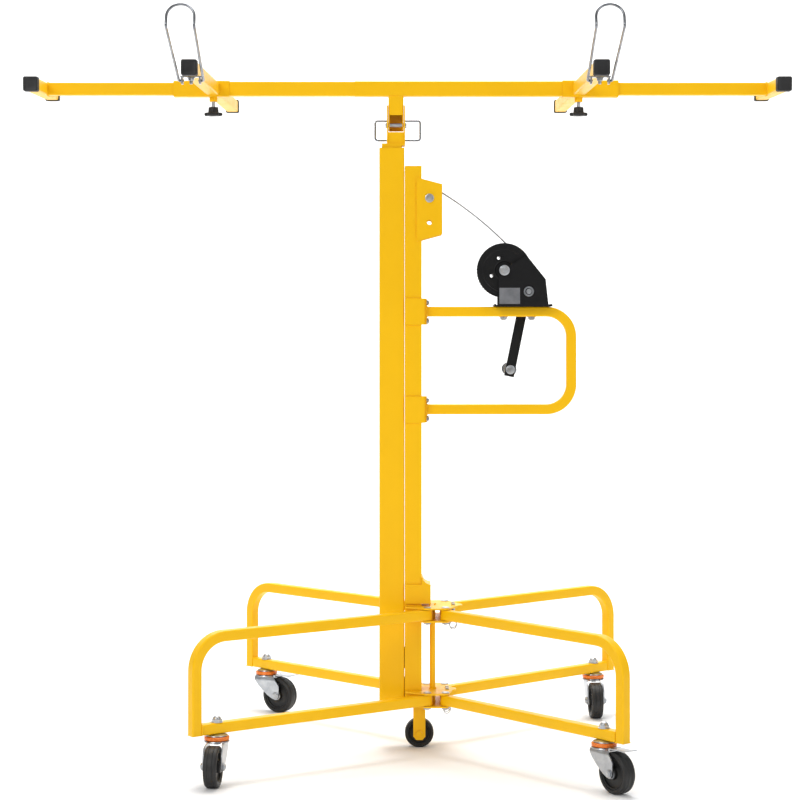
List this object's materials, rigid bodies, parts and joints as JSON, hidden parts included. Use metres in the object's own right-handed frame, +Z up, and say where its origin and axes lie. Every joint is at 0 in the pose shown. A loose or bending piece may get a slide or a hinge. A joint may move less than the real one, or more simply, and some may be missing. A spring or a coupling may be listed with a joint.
{
  "type": "drywall lift",
  "caption": "Wheeled hoist with a telescoping mast, hand winch, folding legs and a tilting cradle with wire hooks that holds a building panel up to a ceiling.",
  "frame": {"origin": "on the floor under the cradle post, on the mast's centre plane", "axes": "+Z up the mast, +X along the crossbar towards the winch, +Y to the back, away from the wire hooks"},
  "size_m": [1.487, 1.0773, 1.3905],
  "materials": {
    "yellow_paint": "satin powder coat",
    "black_paint": "satin black",
    "zinc_steel": "bright zinc plate",
    "chrome_wire": "polished wire",
    "steel_cable": "galvanised strand",
    "black_plastic": "moulded",
    "wheel_rubber": "matt rubber",
    "nylon": "moulded nylon",
    "label_plate": "satin foil, blank"
  },
  "bodies": {
    "mast": {"fixed_mast": "yellow_paint", "pulley_bracket": "yellow_paint", "hub_collar": "yellow_paint", "hub_plates": "yellow_paint", "frame_bolts": "zinc_steel", "lock_pins": "zinc_steel", "winch_frame": "yellow_paint", "winch_clamps": "yellow_paint", "winch_body": "black_paint", "winch_label": "label_plate", "lift_cable": "steel_cable", "mast_cable": "steel_cable", "wheel_fork": "yellow_paint"},
    "stage_one": {"lift_tube": "yellow_paint", "guide_blocks": "nylon"},
    "stage_two": {"inner_tube": "yellow_paint", "head_clevis": "yellow_paint", "pivot_pin": "zinc_steel"},
    "cradle": {"cradle_post": "yellow_paint", "crossbar_main": "yellow_paint", "crossbar_left": "yellow_paint", "left_arm": "yellow_paint", "right_arm": "yellow_paint", "arm_sleeves": "yellow_paint", "arm_caps": "black_plastic", "hook_brackets": "zinc_steel"},
    "latch_left_bail": {"latch_left": "chrome_wire"},
    "outrigger_left_bar": {"outrigger_left": "yellow_paint", "tip_caps_left": "black_plastic"},
    "knob_left_star": {"knob_left": "black_plastic"},
    "hook_left_wire": {"hook_left": "chrome_wire"},
    "latch_right_bail": {"latch_right": "chrome_wire"},
    "outrigger_right_bar": {"outrigger_right": "yellow_paint", "tip_caps_right": "black_plastic"},
    "knob_right_star": {"knob_right": "black_plastic"},
    "hook_right_wire": {"hook_right": "chrome_wire"},
    "leg_fl_frame": {"leg_fl": "yellow_paint", "stem_fl": "zinc_steel"},
    "caster_fl": {"fork_fl": "zinc_steel"},
    "caster_wheel_fl": {"wheel_fl": "wheel_rubber"},
    "leg_bl_frame": {"leg_bl": "yellow_paint", "stem_bl": "zinc_steel"},
    "caster_bl": {"fork_bl": "zinc_steel"},
    "caster_wheel_bl": {"wheel_bl": "wheel_rubber"},
    "brake_pedal_bl": {"brake_bl": "zinc_steel"},
    "leg_fr_frame": {"leg_fr": "yellow_paint", "stem_fr": "zinc_steel"},
    "caster_fr": {"fork_fr": "zinc_steel"},
    "caster_wheel_fr": {"wheel_fr": "wheel_rubber"},
    "brake_pedal_fr": {"brake_fr": "zinc_steel"},
    "leg_br_frame": {"leg_br": "yellow_paint", "stem_br": "zinc_steel"},
    "caster_br": {"fork_br": "zinc_steel"},
    "caster_wheel_br": {"wheel_br": "wheel_rubber"},
    "centre_wheel_body": {"centre_wheel": "wheel_rubber"},
    "sheave_wheel": {"sheave": "nylon"},
    "cable_drum": {"drum": "black_paint"},
    "crank_arm": {"crank": "black_paint"},
    "crank_grip": {"grip": "black_plastic"},
    "ratchet_pawl": {"pawl": "zinc_steel"}
  },
  "joints": [
    {"name": "stage_one_lift", "type": "slide", "parent": "mast", "child": "stage_one", "axis": [0, 0, 1], "range_m": [0, 0.94], "deforming": ["mast_cable"]},
    {"name": "stage_two_lift", "type": "slide", "parent": "stage_one", "child": "stage_two", "axis": [0, 0, 1], "range_m": [0, 0.94]},
    {"name": "cradle_tilt", "type": "hinge", "parent": "stage_two", "child": "cradle", "pos_m": [0, -0.009, 1.241], "axis": [1, 0, 0], "range_deg": [0, 65]},
    {"name": "latch_left_pull", "type": "slide", "parent": "stage_two", "child": "latch_left_bail", "axis": [-1, 0, 0], "range_m": [0, 0.007], "stiffness_N_per_m": 200},
    {"name": "outrigger_left_slide", "type": "slide", "parent": "cradle", "child": "outrigger_left_bar", "axis": [1, 0, 0], "range_m": [-0.03, 0.16]},
    {"name": "knob_left_turn", "type": "hinge", "parent": "cradle", "child": "knob_left_star", "pos_m": [-0.365, -0.00097, 1.2688], "axis": [0, -0.0349, 0.9994], "continuous": true},
    {"name": "hook_left_fold", "type": "hinge", "parent": "cradle", "child": "hook_left_wire", "pos_m": [-0.365, -0.42656, 1.27845], "axis": [-1, 0, 0], "range_deg": [0, 120]},
    {"name": "latch_right_pull", "type": "slide", "parent": "stage_two", "child": "latch_right_bail", "axis": [1, 0, 0], "range_m": [0, 0.007], "stiffness_N_per_m": 200},
    {"name": "outrigger_right_slide", "type": "slide", "parent": "cradle", "child": "outrigger_right_bar", "axis": [-1, 0, 0], "range_m": [-0.03, 0.24]},
    {"name": "knob_right_turn", "type": "hinge", "parent": "cradle", "child": "knob_right_star", "pos_m": [0.365, -0.00097, 1.2688], "axis": [0, -0.0349, 0.9994], "continuous": true},
    {"name": "hook_right_fold", "type": "hinge", "parent": "cradle", "child": "hook_right_wire", "pos_m": [0.365, -0.42656, 1.27845], "axis": [-1, 0, 0], "range_deg": [0, 120]},
    {"name": "leg_fl_fold", "type": "hinge", "parent": "mast", "child": "leg_fl_frame", "pos_m": [0.062, -0.05, 0.102], "axis": [0, 0, -1], "range_deg": [0, 28.8]},
    {"name": "caster_fl_swivel", "type": "hinge", "parent": "leg_fl_frame", "child": "caster_fl", "pos_m": [-0.32887, -0.32166, 0.08], "axis": [0, 0, 1], "continuous": true},
    {"name": "wheel_fl_spin", "type": "hinge", "parent": "caster_fl", "child": "caster_wheel_fl", "pos_m": [-0.33253, -0.35647, 0.0375], "axis": [0.9945, -0.1045, 0], "continuous": true},
    {"name": "leg_bl_fold", "type": "hinge", "parent": "mast", "child": "leg_bl_frame", "pos_m": [0.062, 0.05, 0.102], "axis": [0, 0, 1], "range_deg": [0, 37.4]},
    {"name": "caster_bl_swivel", "type": "hinge", "parent": "leg_bl_frame", "child": "caster_bl", "pos_m": [-0.28385, 0.37705, 0.08], "axis": [0, 0, 1], "continuous": true},
    {"name": "wheel_bl_spin", "type": "hinge", "parent": "caster_bl", "child": "caster_wheel_bl", "pos_m": [-0.25354, 0.35955, 0.0375], "axis": [0.5, 0.866, 0], "continuous": true},
    {"name": "brake_bl_press", "type": "hinge", "parent": "caster_bl", "child": "brake_pedal_bl", "pos_m": [-0.25873, 0.36255, 0.079], "axis": [0.5, 0.866, 0], "range_deg": [0, 4], "stiffness_Nm_per_rad": 2},
    {"name": "leg_fr_fold", "type": "hinge", "parent": "mast", "child": "leg_fr_frame", "pos_m": [0.098, -0.05, 0.102], "axis": [0, 0, 1], "range_deg": [0, 43.4]},
    {"name": "caster_fr_swivel", "type": "hinge", "parent": "leg_fr_frame", "child": "caster_fr", "pos_m": [0.37783, -0.37649, 0.08], "axis": [0, 0, 1], "continuous": true},
    {"name": "wheel_fr_spin", "type": "hinge", "parent": "caster_fr", "child": "caster_wheel_fr", "pos_m": [0.39791, -0.40516, 0.0375], "axis": [0.8192, 0.5736, 0], "continuous": true},
    {"name": "brake_fr_press", "type": "hinge", "parent": "caster_fr", "child": "brake_pedal_fr", "pos_m": [0.39447, -0.40024, 0.079], "axis": [0.8192, 0.5736, 0], "range_deg": [0, 4], "stiffness_Nm_per_rad": 2},
    {"name": "leg_br_fold", "type": "hinge", "parent": "mast", "child": "leg_br_frame", "pos_m": [0.098, 0.05, 0.102], "axis": [0, 0, -1], "range_deg": [0, 34.3]},
    {"name": "caster_br_swivel", "type": "hinge", "parent": "leg_br_frame", "child": "caster_br", "pos_m": [0.42595, 0.32812, 0.08], "axis": [0, 0, 1], "continuous": true},
    {"name": "wheel_br_spin", "type": "hinge", "parent": "caster_br", "child": "caster_wheel_br", "pos_m": [0.42778, 0.29317, 0.0375], "axis": [0.9986, 0.0523, 0], "continuous": true},
    {"name": "centre_wheel_spin", "type": "hinge", "parent": "mast", "child": "centre_wheel_body", "pos_m": [0.0465, 0, 0.0288], "axis": [0, 1, 0], "continuous": true},
    {"name": "sheave_spin", "type": "hinge", "parent": "mast", "child": "sheave_wheel", "pos_m": [0.0666, 0, 1.0947], "axis": [0, 1, 0], "range_deg": [0, 2268.7]},
    {"name": "drum_spin", "type": "hinge", "parent": "mast", "child": "cable_drum", "pos_m": [0.215, 0, 0.951], "axis": [0, 1, 0], "range_deg": [0, 1321]},
    {"name": "crank_spin", "type": "hinge", "parent": "mast", "child": "crank_arm", "pos_m": [0.26329, 0, 0.909], "axis": [0, 1, 0], "range_deg": [-5725.2, 0]},
    {"name": "grip_spin", "type": "hinge", "parent": "crank_arm", "child": "crank_grip", "pos_m": [0.23139, 0, 0.75221], "axis": [0, 1, 0], "continuous": true},
    {"name": "pawl_lift", "type": "hinge", "parent": "mast", "child": "ratchet_pawl", "pos_m": [0.291, 0.0265, 0.925], "axis": [0, 1, 0], "range_deg": [0, 25]}
  ],
  "couplings": [
    {"joint": "stage_two_lift", "follows": "stage_one_lift", "ratio": 1},
    {"joint": "sheave_spin", "follows": "stage_one_lift", "rad_per_m": 42.105},
    {"joint": "drum_spin", "follows": "stage_one_lift", "rad_per_m": 24.51},
    {"joint": "crank_spin", "follows": "stage_one_lift", "rad_per_m": -106.21}
  ]
}
